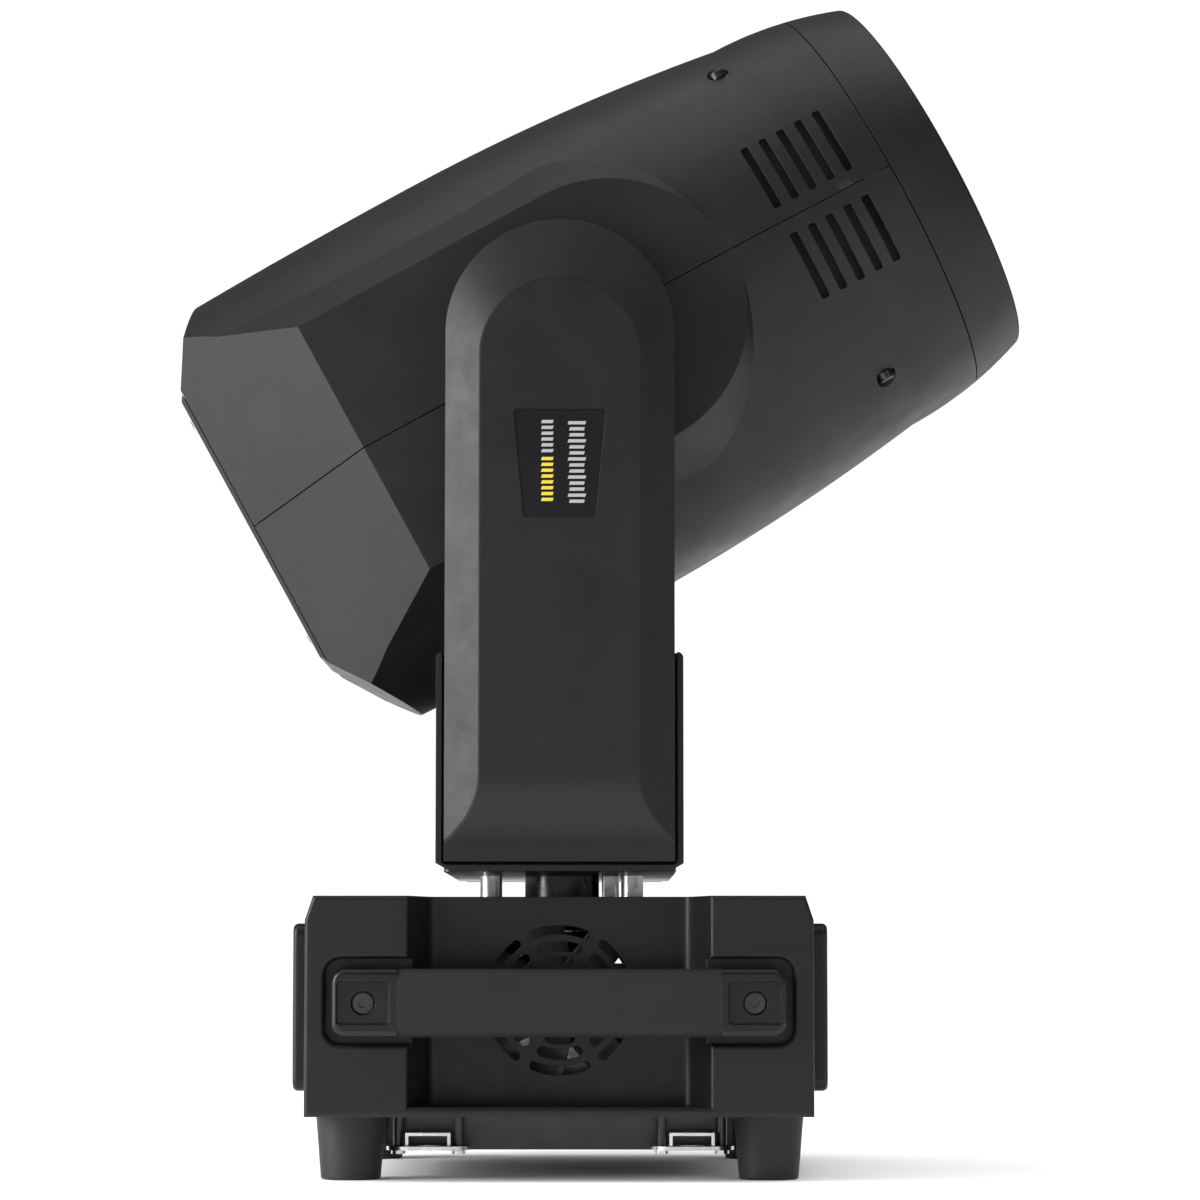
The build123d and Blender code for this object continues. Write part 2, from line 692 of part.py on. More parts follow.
def arm_cover():
    """The outer moulding of an arm, hollow from behind, with a shallow pocket for the badge."""
    with BuildPart() as cover:
        add(arm_form(0).part)
        front = cover.faces().filter_by(Plane.XZ).sort_by(Axis.Y)[0]
        fillet(front.edges(), radius=2.5)
        add(arm_form(WALL).part, mode=Mode.SUBTRACT)
        with BuildSketch(Plane.XZ.offset(ARM_OUTER - BADGE_DEPTH)):
            add(badge_outline(0))
        extrude(amount=WALL, mode=Mode.SUBTRACT)
    write_pair(cover, "arm_cover")
    with BuildPart() as badge:
        with BuildSketch(Plane.XZ.offset(ARM_OUTER - BADGE_DEPTH)):
            add(badge_outline(0.15))
        extrude(amount=BADGE_DEPTH - 0.3)
    write_mirrored_group(badge, "arm_badges")


def badge_outline(inset):
    """A trapezoid, wider at the top."""
    low, high = BADGE_Z
    narrow, wide = BADGE_HALF
    with BuildSketch(Plane.XY) as outline:
        with BuildLine():
            Polyline(
                (inset - narrow, low + inset),
                (narrow - inset, low + inset),
                (wide - inset, high - inset),
                (inset - wide, high - inset),
                close=True,
            )
        make_face()
        fillet(outline.vertices(), radius=2)
    return outline.sketch


def collar_outline(half, bottom_z, top_z, corner):
    """The wide lower part of the inner arm moulding, with its bottom corners cut."""
    with BuildSketch(Plane.XY) as outline:
        with BuildLine():
            Polyline(
                (corner - half, bottom_z),
                (half - corner, bottom_z),
                (half, bottom_z + 0.55 * corner),
                (half, top_z),
                (-half, top_z),
                (-half, bottom_z + 0.55 * corner),
                close=True,
            )
        make_face()
        fillet(outline.vertices().group_by(Axis.Y)[-1], radius=3)
    return outline.sketch


def arm_inner_cover():
    """The moulding beside the head; its lower part is a collar that the outer one nests in."""
    with BuildPart() as cover:
        with BuildSketch(Plane.XZ.offset(ARM_INNER)):
            add(arm_outline(ARM_HALF, TILT_Z, ARM_BOTTOM))
        extrude(amount=ARM_SEAM - 0.4 - ARM_INNER)
        with BuildSketch(Plane.XZ.offset(ARM_INNER)):
            add(collar_outline(COLLAR_HALF, YOKE_BOTTOM, COLLAR_TOP, 7))
        extrude(amount=COLLAR_OUTER - ARM_INNER)
        with BuildSketch(Plane.XZ.offset(ARM_INNER + WALL)):
            add(arm_outline(ARM_HALF - WALL, TILT_Z, YOKE_BOTTOM + WALL))
            add(collar_outline(COLLAR_HALF - WALL, YOKE_BOTTOM + WALL, COLLAR_TOP - WALL, 2))
        extrude(amount=COLLAR_OUTER, mode=Mode.SUBTRACT)
        with BuildSketch(Plane.XZ.offset(ARM_SEAM - 0.4)):
            add(arm_outline(ARM_HALF + 1.4, TILT_Z, YOKE_BOTTOM + WALL + 3))
        extrude(amount=COLLAR_OUTER, mode=Mode.SUBTRACT)
        with BuildSketch(side_plane(0, TILT_Z)):
            Circle(TRUNNION_R + 3)
        extrude(amount=ARM_OUTER, mode=Mode.SUBTRACT)
        with BuildSketch(Plane.XZ):
            with Locations((0, ARM_BOTTOM + 5.5)):
                Rectangle(96, 7)
        extrude(amount=ARM_INNER + WALL + 1, mode=Mode.SUBTRACT)
    write_pair(cover, "arm_inner_cover")


def yoke_frame():
    """The steel cross plate under the head and the two upright arm plates bolted to it."""
    with BuildPart() as plate:
        with BuildSketch(Plane.XY.offset(YOKE_BOTTOM)):
            RectangleRounded(116, 2 * (ARM_INNER - 0.4), 4)
            Circle(SHAFT_BORE, mode=Mode.SUBTRACT)
        extrude(amount=4)
    write(plate, "yoke_plate")
    foot_z = YOKE_BOTTOM + 4
    sill_z = ARM_BOTTOM + WALL + 1
    with BuildPart() as upright:
        with BuildSketch(Plane.XZ.offset(ARM_PLATE_Y)):
            add(arm_outline(46, TILT_Z, sill_z))
            with Locations((0, TILT_Z)):
                Circle(TILT_BEARING_R, mode=Mode.SUBTRACT)
            with Locations((0, TILT_MOTOR_Z)):
                Circle(11, mode=Mode.SUBTRACT)
            with Locations((0, (TILT_Z + TILT_MOTOR_Z) / 2)):
                SlotOverall(80, 40, rotation=90, mode=Mode.SUBTRACT)
        extrude(amount=SHEET)
        with BuildSketch(side_plane(ARM_PLATE_Y + SHEET, TILT_Z)):
            Circle(TILT_BEARING_R + 5)
            Circle(TILT_BEARING_R, mode=Mode.SUBTRACT)
        extrude(amount=10)
        with BuildSketch(Plane.XY.offset(sill_z)):
            with Locations((0, -ARM_PLATE_Y + 20)):
                Rectangle(92, 46)
        extrude(amount=SHEET)
        with BuildSketch(Plane.XY.offset(foot_z)):
            with Locations((0, -ARM_PLATE_Y + 30)):
                Rectangle(92, 26)
        extrude(amount=sill_z - foot_z)
    write_mirrored_group(upright, "arm_plates")
    with BuildPart() as cover:
        with BuildSketch(Plane.YZ.offset(-58)):
            with Locations((0, (foot_z + 0.3 + BEAM_TOP) / 2)):
                Rectangle(2 * (ARM_INNER - 0.4), BEAM_TOP - foot_z - 0.3)
        extrude(amount=116)
        fillet(cover.edges().filter_by(Axis.Y).group_by(Axis.Z)[-1], radius=9)
        with BuildSketch(Plane.XY):
            Rectangle(116 - 2 * WALL, 2 * ARM_INNER + 2)
        extrude(amount=BEAM_TOP - WALL - 6, mode=Mode.SUBTRACT)
    write(cover, "yoke_beam_cover")


def tilt_drive():
    """Bearings, trunnions with the large pulley, the flat motor in the -Y arm and its belt."""
    with BuildPart() as bearing:
        with BuildSketch(side_plane(ARM_PLATE_Y + 1, TILT_Z)):
            Circle(TILT_BEARING_R)
            Circle(TRUNNION_R + RUN, mode=Mode.SUBTRACT)
        extrude(amount=12)
    write_mirrored_group(bearing, "tilt_bearings")
    with BuildPart() as trunnions:
        with BuildSketch(side_plane(CHASSIS_W + SHEET, TILT_Z)):
            Circle(30)
            Circle(TRUNNION_BORE, mode=Mode.SUBTRACT)
        extrude(amount=4)
        with BuildSketch(side_plane(CHASSIS_W + SHEET + 4, TILT_Z)):
            Circle(TRUNNION_R)
            Circle(TRUNNION_BORE, mode=Mode.SUBTRACT)
        extrude(amount=TRUNNION_END - CHASSIS_W - SHEET - 4)
        mirror(about=Plane.XZ)
        with BuildSketch(side_plane(TILT_PULLEY_Y, TILT_Z)):
            Circle(TILT_PULLEY_R)
            Circle(TRUNNION_R, mode=Mode.SUBTRACT)
            with PolarLocations(30, 6):
                Circle(6, mode=Mode.SUBTRACT)
        extrude(amount=TILT_PULLEY_WIDE)
    write_leaning(trunnions, "tilt_trunnions")
    motor_face = side_plane(ARM_PLATE_Y + SHEET, TILT_MOTOR_Z)
    with BuildPart() as motor:
        with BuildSketch(motor_face):
            RectangleRounded(44, 44, 5)
            Circle(3 + RUN, mode=Mode.SUBTRACT)
        extrude(amount=13)
        with BuildSketch(motor_face.offset(13)):
            RectangleRounded(44, 44, 5)
        extrude(amount=2.5)
    write(motor, "tilt_motor")
    with BuildPart() as pulley:
        with BuildSketch(side_plane(TILT_PULLEY_Y, TILT_MOTOR_Z)):
            Circle(TILT_MOTOR_PULLEY_R)
            with PolarLocations(TILT_MOTOR_PULLEY_R, 14):
                Circle(0.7, mode=Mode.SUBTRACT)
        extrude(amount=TILT_PULLEY_WIDE)
        with BuildSketch(side_plane(TILT_PULLEY_Y + TILT_PULLEY_WIDE, TILT_MOTOR_Z)):
            Circle(3)
        extrude(amount=16)
    write(pulley, "tilt_motor_pulley")
    spots = (((0, TILT_Z), TILT_PULLEY_R), ((0, TILT_MOTOR_Z), TILT_MOTOR_PULLEY_R))
    belt = belt_loop(Plane.XZ.offset(TILT_PULLEY_Y + 1), spots, TILT_PULLEY_WIDE - 2)
    write(belt, "tilt_belt")


# Head ------------------------------------------------------------------------------------

def barrel_profile(inset):
    """Half of the round barrel's outline: a long gentle curve, then a slight flare."""
    flare_r, flare_z = HEAD_FLARE
    mid_r, mid_z = HEAD_FLARE_MID
    rear = (HEAD_REAR_R - inset, TILT_Z + HEAD_REAR)
    widest = (HEAD_R - inset, TILT_Z + HEAD_WIDEST)
    flare = (flare_r - inset, TILT_Z + flare_z)
    front = (HEAD_FRONT_R - inset, TILT_Z + HEAD_FRONT)
    with BuildSketch(Plane.XY) as profile:
        with BuildLine():
            Line((0, rear[1]), rear)
            TangentArc(widest, rear, tangent=(0, -1))
            TangentArc(widest, flare, tangent=(0, 1))
            ThreePointArc(flare, (mid_r - inset, TILT_Z + mid_z), front)
            Line(front, (0, front[1]))
            Line((0, front[1]), (0, rear[1]))
        make_face()
    return profile.sketch


def tapered_profile(rear_points, inset):
    """A long outline whose rear end is cut in at both sides, shrunk evenly by inset."""
    (rear_half, rear_z), (half, start_z) = rear_points
    with BuildSketch(Plane.XY) as profile:
        with BuildLine():
            Polyline(
                (-rear_half, TILT_Z + rear_z),
                (rear_half, TILT_Z + rear_z),
                (half, TILT_Z + start_z),
                (half, TILT_Z + HEAD_FRONT + WALL),
                (-half, TILT_Z + HEAD_FRONT + WALL),
                (-half, TILT_Z + start_z),
                close=True,
            )
        make_face()
        if inset:
            offset(amount=-inset, kind=Kind.INTERSECTION, mode=Mode.REPLACE)
    return profile.sketch


def head_form(inset):
    """The upright head: a round barrel with a flat pad each side and a bevelled rear end."""
    spread = PAD_HALF + PAD_RUN * tan(radians(PAD_SLOPE)) - inset
    with BuildPart() as form:
        with BuildSketch(Plane.XZ):
            add(barrel_profile(inset))
        revolve(axis=Axis.Z)
        for facing in (-1, 1):
            start = HEAD_SIDE - inset - PAD_RUN
            pad = Plane((0, facing * start, TILT_Z), (1, 0, 0), (0, facing, 0))
            ahead = PAD_CENTRE * -facing
            back = 2 * HEAD_REAR * -facing
            with BuildSketch(pad):
                with BuildLine():
                    Line((-spread, back), (-spread, ahead))
                    ThreePointArc((-spread, ahead), (0, ahead - facing * spread), (spread, ahead))
                    Line((spread, ahead), (spread, back))
                    Line((spread, back), (-spread, back))
                make_face()
            extrude(amount=PAD_RUN, taper=PAD_SLOPE)
        with BuildSketch(Plane.YZ.offset(-2 * HEAD_R)):
            add(tapered_profile(REAR_SIDE, inset))
        extrude(amount=4 * HEAD_R, mode=Mode.INTERSECT)
        with BuildSketch(Plane.XZ.offset(-2 * HEAD_R)):
            add(tapered_profile(REAR_TOP, inset))
        extrude(amount=4 * HEAD_R, mode=Mode.INTERSECT)
    return form


def vent_slots():
    """Two groups of slots, one each side of the seam, on a side-facing plane."""
    near, far = VENT_SPAN
    middle = TILT_Z + VENT_FIRST + VENT_PITCH * (VENT_COUNT - 1) / 2
    with Locations((0, middle)):
        with GridLocations(far + near, VENT_PITCH, 2, VENT_COUNT):
            RectangleRounded(far - near, VENT_WIDE, 1.2)


def shell_screw_rods(radius, start, depth):
    """Cylinders across the head at the shell screws, on both sides of the seam."""
    with BuildPart() as rods:
        for along, aside, outward in SCREW_SPOTS:
            for facing in (-1, 1):
                distance = outward + start
                plane = Plane((facing * distance, 0, TILT_Z + along), (0, 1, 0), (facing, 0, 0))
                with BuildSketch(plane):
                    with GridLocations(2 * aside, 0, 2, 1):
                        Circle(radius)
                extrude(amount=depth)
    return rods.part


def head_shells():
    """The two long mouldings of the head, which meet in a seam along the middle."""
    outer = head_form(0).part
    inner = head_form(WALL).part
    with BuildPart() as bosses:
        add(shell_screw_rods(8.5, -WALL, 4 * WALL))
        add(head_form(SEAM).part, mode=Mode.INTERSECT)
    for name, facing in (("head_upper_shell", -1), ("head_lower_shell", 1)):
        with BuildPart() as shell:
            add(outer)
            add(inner, mode=Mode.SUBTRACT)
            with BuildSketch(head_plane(LID_SEAM)):
                with Locations((facing * (HEAD_R + SEAM / 2), 0)):
                    Rectangle(2 * HEAD_R, 4 * HEAD_R)
            extrude(amount=RING_SEAM - SEAM - LID_SEAM, mode=Mode.INTERSECT)
            with BuildSketch(Plane.XZ.offset(-2 * HEAD_R)):
                vent_slots()
            extrude(amount=4 * HEAD_R, mode=Mode.SUBTRACT)
            with BuildSketch(Plane((0, 2 * HEAD_R, TILT_Z), (1, 0, 0), (0, -1, 0))):
                Circle(TRUNNION_R + 3)
            extrude(amount=4 * HEAD_R, mode=Mode.SUBTRACT)
            add(bosses.part)
            add(shell_screw_rods(5.5, 0, 40), mode=Mode.SUBTRACT)
            add(shell_screw_rods(2.2, -2 * WALL, 20), mode=Mode.SUBTRACT)
            with BuildSketch(head_plane(LID_SEAM)):
                with Locations((-facing * HEAD_R, 0)):
                    Rectangle(2 * HEAD_R + SEAM, 4 * HEAD_R)
            extrude(amount=RING_SEAM - LID_SEAM, mode=Mode.SUBTRACT)
        write_leaning(shell, name)


def front_ring():
    """The round bezel around the lens."""
    with BuildPart() as ring:
        with BuildSketch(Plane.XZ):
            add(barrel_profile(0))
        revolve(axis=Axis.Z)
        with BuildSketch(head_plane(2 * HEAD_REAR)):
            Circle(2 * HEAD_R)
        extrude(amount=RING_SEAM - 2 * HEAD_REAR, mode=Mode.SUBTRACT)
        front_edge = ring.edges().filter_by(GeomType.CIRCLE).group_by(Axis.Z)[-1]
        fillet(front_edge, radius=2.5)
        with BuildSketch(head_plane(RING_SEAM)):
            Circle(LENS_R + 0.2)
        extrude(amount=14, mode=Mode.SUBTRACT)
        with BuildSketch(head_plane(RING_SEAM)):
            Circle(LENS_R - 3)
        extrude(amount=40, mode=Mode.SUBTRACT)
        with BuildSketch(head_plane(HEAD_FRONT)):
            Circle(LENS_R + 9)
        extrude(amount=-14, taper=38, mode=Mode.SUBTRACT)
    write_leaning(ring, "front_ring")


def front_lens():
    """The plano-convex output lens, held from behind in the bezel."""
    seat = TILT_Z + RING_SEAM + 7
    with BuildPart() as lens:
        with BuildSketch(Plane.XZ):
            with BuildLine():
                Line((0, seat), (LENS_R, seat))
                Line((LENS_R, seat), (LENS_R, seat + 7))
                Line((LENS_R, seat + 7), (LENS_R - 3.5, seat + 7))
                TangentArc((0, seat + 19), (LENS_R - 3.5, seat + 7), tangent=(1, 0))
                Line((0, seat + 19), (0, seat))
            make_face()
        revolve(axis=Axis.Z)
    write_leaning(lens, "front_lens")


def rear_cover():
    """The flat rear lid with the cooling grille."""
    with BuildPart() as lid:
        add(head_form(0.8).part)
        with BuildSketch(head_plane(HEAD_REAR)):
            Rectangle(4 * HEAD_R, 4 * HEAD_R)
        extrude(amount=WALL, mode=Mode.INTERSECT)
        with BuildSketch(head_plane(HEAD_REAR - 1)):
            grille_slots()
            with GridLocations(2 * 58, 0, 2, 1):
                with GridLocations(0, 12, 1, 6):
                    SlotOverall(20, 4.5, mode=Mode.ADD)
        extrude(amount=3 * WALL, mode=Mode.SUBTRACT)
    write_leaning(lid, "rear_cover")


def head_chassis():
    """Side plates, cross bulkheads, guide rods and the small effect motors."""
    with BuildPart() as chassis:
        for facing in (-1, 1):
            with BuildSketch(Plane.XZ.offset(facing * (CHASSIS_W + SHEET / 2) - SHEET / 2)):
                with Locations((0, TILT_Z + 29)):
                    Rectangle(2 * CHASSIS_HALF_V, 298)
            extrude(amount=SHEET)
        for along, opening in ((-92, 34), (-66, 34), (6, 30), (172, 84)):
            with BuildSketch(head_plane(along)):
                Circle(103)
                Rectangle(210, 2 * CHASSIS_W, mode=Mode.INTERSECT)
                Circle(opening, mode=Mode.SUBTRACT)
            extrude(amount=SHEET)
        with BuildSketch(head_plane(9)):
            with GridLocations(2 * ROD_V, 0, 2, 1):
                Circle(ROD_R)
        extrude(amount=163)
        with BuildSketch(head_plane(-63)):
            with GridLocations(2 * WHEEL_OFFSET, 0, 2, 1):
                Circle(17.5)
                Circle(2 + RUN, mode=Mode.SUBTRACT)
        extrude(amount=20)
        with BuildSketch(head_plane(-9)):
            with Locations(PRISM_PIVOT):
                Circle(12)
                Circle(2 + RUN, mode=Mode.SUBTRACT)
        extrude(amount=15)
    write_leaning(chassis, "head_chassis")


def light_engine():
    """Heat sink with its fins and the LED module on its front."""
    with BuildPart() as sink:
        with BuildSketch(head_plane(-98)):
            Rectangle(100, 100)
        extrude(amount=6)
        with BuildSketch(head_plane(-98)):
            with GridLocations(0, 7, 1, 14):
                Rectangle(100, 1.6)
        extrude(amount=-48)
    write_leaning(sink, "heat_sink")
    with BuildPart() as module:
        with BuildSketch(head_plane(-92)):
            Circle(20)
        extrude(amount=5)
        with BuildSketch(head_plane(-87)):
            Rectangle(22, 22)
        extrude(amount=1.5)
        with BuildSketch(head_plane(-84)):
            Circle(28)
        extrude(amount=12, taper=-10)
    write_leaning(module, "led_module")


def effect_wheels():
    """Colour and gobo wheels, each on its motor shaft beside the beam."""
    for name, aside, along in (("colour_wheel", -1, -38), ("gobo_wheel", 1, -32)):
        centre = Plane((aside * WHEEL_OFFSET, 0, TILT_Z + along))
        with BuildPart() as wheel:
            with BuildSketch(centre):
                Circle(WHEEL_R)
                with PolarLocations(WHEEL_OFFSET, 8):
                    Circle(WHEEL_HOLE_R, mode=Mode.SUBTRACT)
            extrude(amount=1.5)
            with BuildSketch(centre):
                Circle(2)
            extrude(amount=-63 - along + 3)
        write_leaning(wheel, name)


def prism_arm():
    """The prism in its cell on a swing arm, parked beside the beam."""
    pivot = Plane((PRISM_PIVOT[0], PRISM_PIVOT[1], TILT_Z - 18), (-1, 0, 0), (0, 0, 1))
    reach = (PRISM_PIVOT[0] ** 2 + PRISM_PIVOT[1] ** 2) ** 0.5
    bearing = degrees(atan(PRISM_PIVOT[1] / PRISM_PIVOT[0])) + PRISM_SWING
    cell = (reach * cos(radians(bearing)), reach * sin(radians(bearing)))
    with BuildPart() as arm:
        with BuildSketch(pivot):
            Circle(7)
            with Locations(cell):
                Circle(PRISM_R + 5)
            make_hull()
            with Locations(cell):
                Circle(PRISM_R, mode=Mode.SUBTRACT)
        extrude(amount=3)
        with BuildSketch(pivot):
            with Locations(cell):
                Circle(PRISM_R + 5)
                Circle(PRISM_R, mode=Mode.SUBTRACT)
        extrude(amount=8)
        with BuildSketch(pivot):
            with Locations(cell):
                Circle(PRISM_R)
        extrude(amount=3)
        with BuildSketch(pivot.offset(3)):
            with Locations(cell):
                RegularPolygon(PRISM_R - 1, 3)
        extrude(amount=5, taper=45)
        with BuildSketch(pivot):
            Circle(2)
        extrude(amount=22)
    write_leaning(arm, "prism_arm")


def lens_carriages():
    """Focus and zoom lenses in cells that slide along the guide rods."""
    for name, along, lens_r in (("focus_carriage", 40, 34), ("zoom_carriage", 104, 62)):
        with BuildPart() as carriage:
            with BuildSketch(head_plane(along - 3)):
                Circle(lens_r + 5)
                Circle(lens_r, mode=Mode.SUBTRACT)
                with GridLocations(2 * (lens_r + 2 + ROD_V) / 2, 0, 2, 1):
                    Rectangle(ROD_V - lens_r - 2, 12)
                with GridLocations(2 * ROD_V, 0, 2, 1):
                    Circle(8)
                    Circle(ROD_R + RUN, mode=Mode.SUBTRACT)
            extrude(amount=6)
            with BuildSketch(head_plane(along - 6)):
                with GridLocations(2 * ROD_V, 0, 2, 1):
                    Circle(8)
                    Circle(ROD_R + RUN, mode=Mode.SUBTRACT)
            extrude(amount=12)
            with BuildSketch(head_plane(along - 2)):
                Circle(lens_r)
            extrude(amount=4)
        write_leaning(carriage, name)


def shell_screws():
    """Screws that hold the two head shells to the chassis."""
    with BuildPart() as screws:
        add(shell_screw_rods(4.5, 0, 3))
        add(shell_screw_rods(2.1, -2 * WALL, 2 * WALL))
    write_leaning(screws, "head_shell_screws")


# All pieces ------------------------------------------------------------------------------

os.makedirs("parts", exist_ok=True)
base_cover()
base_tray()
handles()
handle_screws()
rubber_feet()
camlock_receptacles()
safety_eye()
display_end()
connector_end()

base_fan_plane = side_plane(RECESS_Y - WALL - 0.2 - FAN_DEPTH, FAN_Z)
write_mirrored_group(fan_frame(base_fan_plane, FAN_SIZE), "base_fan_frames")
write_pair(fan_rotor(base_fan_plane, FAN_SIZE), "base_fan_rotor")

pan_bridge()
pan_bearing()
pan_drive()
base_electronics()

arm_cover()
arm_inner_cover()
yoke_frame()
tilt_drive()

head_shells()
front_ring()
front_lens()
rear_cover()
head_chassis()
light_engine()
head_fan_plane = Plane((0, 0, TILT_Z - 153), (1, 0, 0), (0, 0, -1))
write_leaning(fan_frame(head_fan_plane, HEAD_FAN_SIZE), "head_fan_frame")
write_leaning(fan_rotor(head_fan_plane, HEAD_FAN_SIZE), "head_fan_rotor")
effect_wheels()
prism_arm()
lens_carriages()
shell_screws()
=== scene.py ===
import math

import bmesh
import bpy
from mathutils import Matrix, Vector


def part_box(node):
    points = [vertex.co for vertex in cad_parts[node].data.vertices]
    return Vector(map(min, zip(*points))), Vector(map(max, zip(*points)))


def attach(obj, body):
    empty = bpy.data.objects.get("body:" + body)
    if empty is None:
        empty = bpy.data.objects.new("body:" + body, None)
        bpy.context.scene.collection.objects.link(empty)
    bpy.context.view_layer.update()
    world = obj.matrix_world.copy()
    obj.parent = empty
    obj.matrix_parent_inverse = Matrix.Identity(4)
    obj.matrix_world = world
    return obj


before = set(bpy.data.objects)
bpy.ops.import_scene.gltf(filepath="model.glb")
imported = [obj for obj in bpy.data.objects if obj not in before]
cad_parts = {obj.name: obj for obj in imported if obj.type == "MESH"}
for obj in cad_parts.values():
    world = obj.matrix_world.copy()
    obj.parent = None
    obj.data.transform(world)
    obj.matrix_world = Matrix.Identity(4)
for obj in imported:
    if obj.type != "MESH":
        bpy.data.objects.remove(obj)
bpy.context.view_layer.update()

MM = 0.001
SCENE = bpy.context.scene
FLOOR_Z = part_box("rubber_feet")[0].z


# Shader building ---------------------------------------------------------------------------

class Shader:
    """A small wrapper that adds nodes to a material and links them."""

    def __init__(self, name):
        self.material = bpy.data.materials.get(name) or bpy.data.materials.new(name)
        self.material.use_nodes = True
        self.tree = self.material.node_tree
        self.tree.nodes.clear()
        self.coords = self.add("ShaderNodeTexCoord").outputs["Object"]

    def add(self, kind, **inputs):
        """A node of this kind; inputs are values, or output sockets to link from."""
        node = self.tree.nodes.new(kind)
        for key, value in inputs.items():
            self.put(node, key.replace("_", " "), value)
        return node

    def put(self, node, key, value):
        socket = node.inputs[key]
        if isinstance(value, bpy.types.NodeSocket):
            self.tree.links.new(value, socket)
        else:
            socket.default_value = value

    def noise(self, scale, detail=2.0, roughness=0.5, coords=None):
        """A noise pattern; scale is features per metre."""
        node = self.add("ShaderNodeTexNoise", Vector=coords or self.coords, Scale=scale)
        node.inputs["Detail"].default_value = detail
        node.inputs["Roughness"].default_value = roughness
        return node.outputs["Fac"]

    def cells(self, scale):
        """Distance to the nearest cell centre; scale is cells per metre."""
        node = self.add("ShaderNodeTexVoronoi", Vector=self.coords, Scale=scale)
        return node.outputs["Distance"]

    def stretched(self, x, y, z):
        """Object coordinates scaled by a factor along each axis."""
        node = self.add("ShaderNodeMapping", Vector=self.coords, Scale=(x, y, z))
        return node.outputs["Vector"]

    def span(self, value, low, high, start=0.3, end=0.7):
        """Remaps a pattern from start..end to low..high."""
        node = self.add("ShaderNodeMapRange", Value=value)
        node.inputs["From Min"].default_value = start
        node.inputs["From Max"].default_value = end
        node.inputs["To Min"].default_value = low
        node.inputs["To Max"].default_value = high
        return node.outputs["Result"]

    def between(self, factor, first, second):
        """Two colours mixed by a pattern."""
        node = self.add("ShaderNodeMix")
        node.data_type = "RGBA"
        self.tree.links.new(factor, node.inputs[0])
        for socket, value in ((node.inputs[6], first), (node.inputs[7], second)):
            if isinstance(value, bpy.types.NodeSocket):
                self.tree.links.new(value, socket)
            else:
                socket.default_value = (*value, 1.0)
        return node.outputs[2]

    def arithmetic(self, operation, first, second):
        node = self.add("ShaderNodeMath")
        node.operation = operation
        for socket, value in zip(node.inputs, (first, second)):
            if isinstance(value, bpy.types.NodeSocket):
                self.tree.links.new(value, socket)
            else:
                socket.default_value = value
        return node.outputs[0]

    def bump(self, height, depth, normal=None):
        """A bump of this depth in metres."""
        node = self.add("ShaderNodeBump", Height=height, Distance=depth, Strength=1.0)
        if normal is not None:
            self.tree.links.new(normal, node.inputs["Normal"])
        return node.outputs["Normal"]

    def soft_edge(self, radius):
        """Edges rounded in the shading only."""
        node = self.add("ShaderNodeBevel", Radius=radius)
        node.samples = 4
        return node.outputs["Normal"]

    def edge_mask(self, radius):
        """1 along convex and concave edges, 0 on flat surfaces."""
        soft = self.soft_edge(radius)
        plain = self.add("ShaderNodeNewGeometry").outputs["Normal"]
        dot = self.add("ShaderNodeVectorMath")
        dot.operation = "DOT_PRODUCT"
        self.tree.links.new(soft, dot.inputs[0])
        self.tree.links.new(plain, dot.inputs[1])
        return self.span(dot.outputs["Value"], 1.0, 0.0, 0.82, 0.995)

    def finish(self, **inputs):
        """The principled shader, linked to the material's output."""
        shader = self.add("ShaderNodeBsdfPrincipled", **inputs)
        output = self.add("ShaderNodeOutputMaterial")
        self.tree.links.new(shader.outputs[0], output.inputs["Surface"])
        return self.material


def tone(colour, factor):
    return tuple(c * factor for c in colour)


def moulded(name, colour, rough, grain=900.0, depth=4e-5, spread=0.06, edge=0.5e-3, edge_highlight=1.6, level=0.3):
    """Moulded plastic with a spark-eroded grain, slight mottling and a painted highlight along its edges.
    """
    s = Shader(name)
    soft = s.soft_edge(edge)
    fine = s.noise(grain, detail=3.0, roughness=0.6)
    pits = s.cells(grain * 0.7)
    height = s.arithmetic("ADD", fine, s.arithmetic("MULTIPLY", pits, 0.6))
    normal = s.bump(height, depth, soft)
    cloud = s.noise(14.0, detail=4.0, roughness=0.6)
    body = s.between(s.span(cloud, 0.0, 1.0), tone(colour, 0.86), tone(colour, 1.14))
    speck = s.span(fine, 0.0, 0.5, 0.55, 0.75)
    body = s.between(speck, body, tone(colour, 1.5))
    # Paler along every edge, in patches: a painted highlight on the edges.
    edges = s.arithmetic("MULTIPLY", s.edge_mask(edge * 2), s.span(s.noise(120.0), 0.15, 0.7))
    body = s.between(edges, body, tone(colour, edge_highlight))
    gloss = s.noise(38.0, detail=5.0, roughness=0.65)
    gloss = s.span(gloss, rough - spread, rough + spread)
    return s.finish(Base_Color=body, Roughness=gloss, Normal=normal, Specular_IOR_Level=level)


def metal(name, colour, rough, brushed=(1.0, 1.0, 1.0), scale=700.0, depth=1.2e-5):
    """Metal with a directional or even finish, faint stains and varied gloss."""
    s = Shader(name)
    lay = s.stretched(*brushed)
    fine = s.noise(scale, detail=4.0, roughness=0.6, coords=lay)
    normal = s.bump(fine, depth, s.soft_edge(0.25e-3))
    stain = s.noise(60.0, detail=4.0, roughness=0.6)
    body = s.between(s.span(stain, 0.0, 1.0), tone(colour, 0.82), tone(colour, 1.08))
    gloss = s.span(s.arithmetic("ADD", s.noise(90.0, detail=4.0), s.arithmetic("MULTIPLY", fine, 0.4)),
                   rough - 0.08, rough + 0.12, 0.5, 0.9)
    return s.finish(Base_Color=body, Metallic=1.0, Roughness=gloss, Normal=normal)


